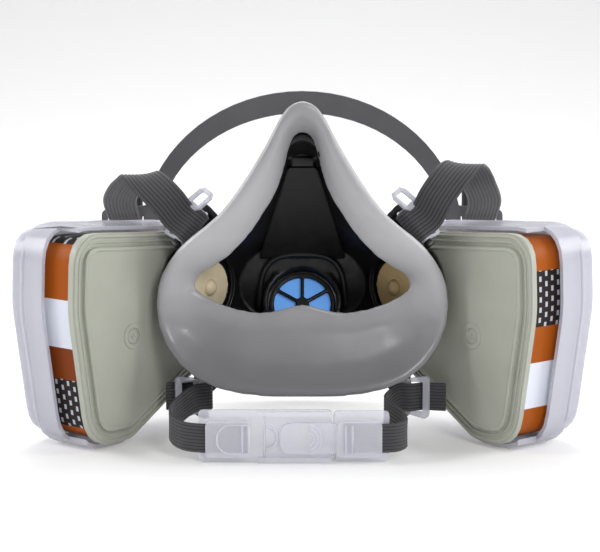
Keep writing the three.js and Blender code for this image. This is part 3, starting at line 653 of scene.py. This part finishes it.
def swept_strap(name, stations, width, ridges, side):
    """A ribbed strap along its stations, and its length in metres."""
    line, widths = centre_line(stations)
    profile = ribbed_profile(width, ridges)
    build = bmesh.new()
    stripe = build.verts.layers.float.new("ridge")
    rings = []
    for i, centre in enumerate(line):
        along = (line[min(i + 1, len(line) - 1)] - line[max(i - 1, 0)]).normalized()
        across = (widths[i] - along * widths[i].dot(along)).normalized()
        normal = along.cross(across)
        ring = []
        for u, v, ridge in profile:
            vertex = build.verts.new(placed(centre + across * u + normal * v, side))
            vertex[stripe] = ridge
            ring.append(vertex)
        rings.append(ring)
    swept(build, rings)
    bmesh.ops.recalc_face_normals(build, faces=build.faces)
    length = sum((q - p).length for p, q in zip(line, line[1:]))
    return new_object(name, mesh_from(build, name)), length * MM


# Straps that run to a moving piece: its body, and where the strap starts and ends its turn.
STRAP_BLENDS = {
    "left_upper_strap": ("head_cradle", (72, 33, 109), (81.5, 82, 86)),
    "right_upper_strap": ("head_cradle", (72, 33, 113.5), (81.5, 82, 86)),
    "right_lower_strap": ("neck_hook", (42, -10, 12.8), (42, -22, 10.8)),
}


def straps():
    left_upper, right_upper = upper_route(LEFT_DROP), upper_route(0)
    for side, kind, stations, width, ridges, end in (
        ("left", "upper", left_upper, UPPER_WIDTH, UPPER_RIDGES, "head_cradle"),
        ("right", "upper", right_upper, UPPER_WIDTH, UPPER_RIDGES, "head_cradle"),
        ("left", "lower", lower_left_route(), LOWER_WIDTH, LOWER_RIDGES, "neck_clip"),
        ("right", "lower", lower_right_route(), LOWER_WIDTH, LOWER_RIDGES, "neck_hook"),
    ):
        node = f"{side}_{kind}_strap"
        piece, length = swept_strap(f"{node}_woven", stations, width, ridges, SIDES[side])
        finished(piece, node)
        if node in STRAP_BLENDS:
            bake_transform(piece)
        else:
            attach(piece, BODY_OF_NODE[node])


# ---------------------------------------------------------------- moulded details

PORT_TUBE_R = 16.5
RAISED_FACE = 1.6
# Cartridge outline: distance behind the port axis, height, corner radius
CARTRIDGE_CORNERS = [
    (-22, 84.5, 16), (67.5, 92.5, 13), (69.3, 60, 60),
    (60.5, 2.5, 16), (36, 2.5, 14), (-22, 34, 18),
]


def port_point(behind, height, out):
    """A point behind the port's axis, at a height, and out of the mask from the port's centre."""
    rise = Vector((0, 0, height - PORT_POINT.z))
    return PORT_POINT - PORT_FORWARD * behind + rise + PORT_OUT * out


def rounded_outline(corners, inset, steps=8):
    """Points round a closed outline with rounded corners, moved inwards by inset."""
    spots = [Vector(c[:2]) for c in corners]
    turn = sum(a.cross(b) for a, b in zip(spots, spots[1:] + spots[:1]))
    inward = 1 if turn > 0 else -1
    points = []
    for i, (x, y, radius) in enumerate(corners):
        here = Vector((x, y))
        to_before = (spots[i - 1] - here).normalized()
        to_after = (spots[(i + 1) % len(spots)] - here).normalized()
        half = math.acos(max(-1, min(1, to_before.dot(to_after)))) / 2
        middle = (to_before + to_after).normalized()
        centre = here + middle * radius / math.sin(half)
        start = here + to_before * radius / math.tan(half) - centre
        end = here + to_after * radius / math.tan(half) - centre
        sweep = start.angle_signed(end)
        for k in range(steps + 1):
            ray = Matrix.Rotation(-sweep * k / steps, 2) @ start
            points.append(centre + ray.normalized() * (radius - inset))
    return points if inward > 0 else points[::-1]


def detail(name, build, node, smooth=True):
    """Turns a built mesh into a piece with a node's material that rides on the node's body."""
    piece = new_object(name, mesh_from(build, name))
    piece.data.materials.append(look_of(node))
    shade(piece.data, smooth)
    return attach(piece, BODY_OF_NODE[node])


def bead(name, points, radius, node, side=1, closed=False, facets=8):
    """A moulded ridge: a round section swept along points of the mask's own frame, on a node's body."""
    build = bmesh.new()
    count = len(points)
    rings = []
    turns = [2 * math.pi * k / facets for k in range(facets)]
    first = None
    for i, p in enumerate(points):
        before = points[i - 1] if closed or i else p
        after = points[(i + 1) % count] if closed or i + 1 < count else p
        along = (after - before).normalized()
        guide = first or along.orthogonal()
        first = (guide - along * guide.dot(along)).normalized()
        second = along.cross(first)
        spokes = [(first * math.cos(a) + second * math.sin(a)) * radius for a in turns]
        rings.append([build.verts.new(placed(p + spoke, side)) for spoke in spokes])
    if closed:
        for one, two in zip(rings, rings[1:]):
            join_rings(build, one, two)
        # The last ring may have turned against the first, so each vertex meets its nearest one.
        last, start = rings[-1], rings[0]
        turn = min(range(facets), key=lambda t: (start[t].co - last[0].co).length)
        join_rings(build, last, start, turn)
    else:
        swept(build, rings)
    bmesh.ops.recalc_face_normals(build, faces=build.faces)
    return detail(name, build, node)


def arc(centre, radius, start, end, place, steps=20):
    """Points along an arc of degrees; place turns its two plane coordinates into a point."""
    turns = (math.radians(start + (end - start) * i / steps) for i in range(steps + 1))
    return [
        place(centre[0] + radius * math.cos(a), centre[1] + radius * math.sin(a))
        for a in turns
    ]


# Ridges along each case: name, distance in from its outline, distance out of the port, radius
CASE_BEADS = [
    ("rim", 1.3, 0.1, 0.75),
    ("groove_edge", 3.6, 0.0, 0.5),
    ("plate_edge", 6.6, -RAISED_FACE + 0.45, 0.9),
]
# Round moulding mark: its centre (behind the port axis, height), and its rings' radii
MARK_CENTRE = (35.9, 46.4)
MARK_RINGS = {"outer": 5.2, "inner": 3.0, "centre": 0.9}
MARK_WIRE_R = 0.3


def cartridge_details():
    """Second rim ridge, the soft step round the raised plate, and the round moulding mark."""
    for side, sign in SIDES.items():
        node = f"{side}_cartridge_case"
        for name, inset, out, radius in CASE_BEADS:
            outline = rounded_outline(CARTRIDGE_CORNERS, inset)
            line = [port_point(p.x, p.y, out) for p in outline]
            bead(f"{side}_case_{name}", line, radius, node, sign, closed=True)
        for name, radius in MARK_RINGS.items():
            ring = arc(
                MARK_CENTRE, radius, 0, 345,
                lambda behind, height: port_point(behind, height, -RAISED_FACE - 0.1), 23,
            )
            bead(f"{side}_mark_{name}", ring, MARK_WIRE_R, node, sign, closed=True)


# Corners of the sloped panel over the nose, on its face and where it meets the shell
PANEL_FACE = [(-6, 22.5, 115.5), (6, 22.5, 115.5), (19, 41.8, 73.5), (-19, 41.8, 73.5)]
PANEL_FOOT = [(-6, 29, 112), (6, 29, 112), (19, 44.5, 73), (-19, 44.5, 73)]
PANEL_BEVEL = 0.7


def nose_panel():
    """The sloped panel over the nose."""
    build = bmesh.new()
    near = [build.verts.new(placed(p)) for p in PANEL_FACE]
    far = [build.verts.new(placed(p)) for p in PANEL_FOOT]
    build.faces.new(near)
    build.faces.new(far[::-1])
    for i in range(4):
        n = (i + 1) % 4
        build.faces.new((near[i], far[i], far[n], near[n]))
    bmesh.ops.recalc_face_normals(build, faces=build.faces)
    bmesh.ops.bevel(
        build, geom=build.edges[:], offset=PANEL_BEVEL * MM, segments=3, affect="EDGES",
    )
    detail("nose_panel", build, "inner_shell", smooth=False)


# The arch over the exhalation valve, as (x, z) points
ARCH = [
    (-18.8, 52), (-18.4, 60), (-17, 67), (-14, 72), (-9, 74.6), (0, 75.4),
    (9, 74.6), (14, 72), (17, 67), (18.4, 60), (18.8, 52),
]
ARCH_Y = 41
ARCH_R = 1.3
ARCH_STEPS = 50


def valve_arch():
    """The raised arch over the exhalation valve."""
    arch = [Vector((x, ARCH_Y, z)) for x, z in ARCH]
    line = [spline_point(arch, i / ARCH_STEPS) for i in range(ARCH_STEPS + 1)]
    bead("valve_arch", line, ARCH_R, "inner_shell")


PORT_RIBS = 3
PORT_RIB_START = -12.6
PORT_RIB_PITCH = 2.4
PORT_RIB_R = 0.8


def port_ribs():
    """Ribs round each port housing."""
    for side, sign in SIDES.items():
        for i in range(PORT_RIBS):
            out = PORT_RIB_START + PORT_RIB_PITCH * i
            ring = arc(
                (0, PORT_POINT.z), PORT_TUBE_R, 0, 350,
                lambda behind, height: port_point(behind, height, out), 35,
            )
            bead(f"{side}_port_rib_{i}", ring, PORT_RIB_R, "inner_shell", sign, closed=True)


# Ridges along each retainer's steps: name, distance in from the outline, distance out, radius
RETAINER_RIMS = [
    ("skirt_rim", -1.6, 26.6, 1.5),
    ("cap_rim", 1.9, 34.7, 1.4),
]


def retainer_details():
    """Rounded rims along the steps of each retainer, which catch the light and stay off the floor."""
    for side, sign in SIDES.items():
        for name, inset, out, radius in RETAINER_RIMS:
            outline = rounded_outline(CARTRIDGE_CORNERS, inset)
            line = [port_point(p.x, max(p.y, radius), out) for p in outline]
            bead(f"{side}_{name}", line, radius, f"{side}_retainer", sign, closed=True)


FLAP_FACE = -13.1
FLAP_CAP_R = 3.6
FLAP_CAP_FLATNESS = 0.62


def valve_details():
    """A low rubber cap over the pin that holds each inhalation flap."""
    for side, sign in SIDES.items():
        build = bmesh.new()
        bmesh.ops.create_uvsphere(build, u_segments=20, v_segments=12, radius=FLAP_CAP_R)
        for vertex in build.verts:
            x, y, z = vertex.co
            out = FLAP_FACE + z * FLAP_CAP_FLATNESS
            vertex.co = placed(port_point(x, PORT_POINT.z + y, out), sign)
        bmesh.ops.recalc_face_normals(build, faces=build.faces)
        detail(f"{side}_flap_cap", build, f"{side}_inhalation_flap")


# Corners of the ring beside each upper buckle: along its bar, away from the seal, towards the face
BUCKLE_RING = [(-6.5, -1, 4.2), (-15, -1.5, 3), (-15.5, 5, 3), (-6.5, 6, 4.2)]
BUCKLE_RING_R = 1.1
RING_SHARES = (0.15, 0.5, 0.85)  # points along each side, clear of its corners


def buckle_details():
    """The ring that joins each upper buckle to the seal's edge."""
    face = UPPER_ALONG.cross(UPPER_OUT)
    corners = [UPPER_BAR + UPPER_ALONG * a + UPPER_OUT * o + face * f for a, o, f in BUCKLE_RING]
    line = []
    for corner, after in zip(corners, corners[1:] + corners[:1]):
        line += [corner.lerp(after, share) for share in RING_SHARES]
    for side, sign in SIDES.items():
        node = f"{side}_upper_buckle"
        bead(f"{side}_buckle_ring", line, BUCKLE_RING_R, node, sign, closed=True)


# The clasp's plates, and how far forward the hook's tongue and the dividing lines lie
CLASP_FRONT = 24
POCKET_FRONT = 28
TONGUE_FRONT = CLASP_FRONT + 2.4
LINE_FRONT = CLASP_FRONT + 0.2
# Lower and upper ends of the pockets' lines
POCKET_LOW = 4.6
POCKET_HIGH = 16.2
HOOK_ARCS = (3.2, 4.8, 6.3)


def clasp_point(x, z, front=POCKET_FRONT):
    return Vector((x, -front, z))


def clasp_line(name, x, radius, node, low=POCKET_LOW, high=POCKET_HIGH, front=POCKET_FRONT):
    """An upright raised line on the clasp."""
    bead(name, [clasp_point(x, low, front), clasp_point(x, high, front)], radius, node)


def clip_details():
    """The clip's side: the pocket's window, its bars, the dividing line and the round bump."""
    window = [clasp_point(-22, POCKET_LOW)]
    window += arc((-28.5, POCKET_Z), 6, 270, 90, clasp_point)
    window += [clasp_point(-22, POCKET_HIGH)]
    bead("clasp_window", window, 0.4, "neck_clip")
    clasp_line("clasp_window_bar", -24.2, 0.55, "neck_clip")
    clasp_line("clasp_pocket_end", -21.6, 0.55, "neck_clip")
    clasp_line("clasp_divider", -15.3, 0.5, "neck_clip", 1, 20.6, LINE_FRONT)
    bump = arc((-14.8, POCKET_Z), 4.6, -90, 90, lambda x, z: clasp_point(x, z, LINE_FRONT))
    bead("clasp_bump", bump, 0.7, "neck_clip")


def hook_details():
    """The hook's side: the arcs of its curl, the slit, the pocket's end and the dividing line."""
    for i, radius in enumerate(HOOK_ARCS):
        curl = arc((1.4, POCKET_Z), radius, -75, 75, lambda x, z: clasp_point(x, z, TONGUE_FRONT))
        bead(f"hook_arc_{i}", curl, 0.55, "neck_hook")
    clasp_line("hook_slit", 17.4, 0.5, "neck_hook")
    clasp_line("hook_pocket_end", 20, 0.5, "neck_hook")
    clasp_line("hook_divider", 12.9, 0.5, "neck_hook", 1.4, 20.2, LINE_FRONT)


# ---------------------------------------------------------------- scene

def camera():
    data = bpy.data.cameras.new("camera")
    data.sensor_fit = "HORIZONTAL"
    data.angle = VIEW_ANGLE
    eye = new_object("camera", data)
    back = Vector((0, -math.cos(VIEW_ELEVATION), math.sin(VIEW_ELEVATION)))
    eye.location = VIEW_TARGET + back * VIEW_DISTANCE
    eye.rotation_euler = (-back).to_track_quat("-Z", "Y").to_euler()
    bpy.context.scene.camera = eye


def area_light(name, place, size, power):
    data = bpy.data.lights.new(name, "AREA")
    data.size = size
    data.energy = power
    lamp = new_object(name, data)
    lamp.location = place
    lamp.rotation_euler = (VIEW_TARGET - Vector(place)).to_track_quat("-Z", "Y").to_euler()


FLOOR_HALF_WIDTH = 30
FLOOR_NEAR = -30
BEND_START = 1.0
BEND_RADIUS = 0.8
WALL_TOP = 6
BEND_STEPS = 12
PAPER_GLOW = (0.2, 0.88)  # emission near the object, and far from it
GLOW_REACH = (0.8, 2.4)   # distances where the glow starts and stops growing


def paper_look():
    """White paper, lit far out by its own glow, so that the lamps need not reach there."""
    look = Look("backdrop paper", (0.72, 0.72, 0.72), 0.9)
    look.set(Emission_Color=WHITE)
    parts = look.node("SeparateXYZ", Vector=look.place)
    # The wall is near on the side towards +Y, so only distance to the other sides counts.
    front = look.math("MINIMUM", parts.outputs["Y"], 0)
    flat = look.node("CombineXYZ", X=parts.outputs["X"], Y=front)
    distance = look.nodes.new("ShaderNodeVectorMath")
    distance.operation = "LENGTH"
    look.links.new(flat.outputs["Vector"], distance.inputs[0])
    glow = look.node(
        "MapRange", Value=distance.outputs["Value"],
        From_Min=GLOW_REACH[0], From_Max=GLOW_REACH[1],
        To_Min=PAPER_GLOW[0], To_Max=PAPER_GLOW[1],
    )
    look.links.new(glow.outputs["Result"], look.shader.inputs["Emission Strength"])
    return look


def backdrop():
    """Pale floor that curves up behind the object."""
    profile = [(FLOOR_NEAR, 0), (-BEND_START, 0), (BEND_START, 0)]
    for i in range(1, BEND_STEPS + 1):
        turn = i * math.pi / 2 / BEND_STEPS
        forward = BEND_START + BEND_RADIUS * math.sin(turn)
        profile.append((forward, BEND_RADIUS * (1 - math.cos(turn))))
    profile.append((BEND_START + BEND_RADIUS, WALL_TOP))
    build = bmesh.new()
    rows = [
        [build.verts.new((x, y, z)) for x in (-FLOOR_HALF_WIDTH, FLOOR_HALF_WIDTH)]
        for y, z in profile
    ]
    for one, two in zip(rows, rows[1:]):
        build.faces.new((one[0], one[1], two[1], two[0]))
    paper = new_object("backdrop", mesh_from(build, "backdrop"))
    shade(paper.data)
    paper.data.materials.append(paper_look().material)


# Name, place and size in metres, and power of each lamp
LAMPS = [
    ("top rear", (0, 0.8, 1.1), 1.0, 10),
    ("left", (-1.25, -0.1, 0.7), 0.7, 12),
    ("right", (1.25, -0.1, 0.7), 0.7, 12),
    ("front fill", (0.5, -1.1, 0.75), 0.45, 6.3),
]
SURROUNDINGS = 0.22


def studio():
    """Backdrop, soft lamps above and to each side with a weak one in front, and pale surroundings."""
    backdrop()
    for lamp in LAMPS:
        area_light(*lamp)
    world = bpy.data.worlds.new("studio")
    world.use_nodes = True
    background = world.node_tree.nodes["Background"]
    background.inputs["Color"].default_value = WHITE
    background.inputs["Strength"].default_value = SURROUNDINGS
    bpy.context.scene.world = world
    bpy.context.scene.view_settings.view_transform = "Standard"


camera()
studio()
pieces = refined_pieces()
straps()
cartridge_details()
nose_panel()
valve_arch()
port_ribs()
retainer_details()
valve_details()
buckle_details()
clip_details()
hook_details()
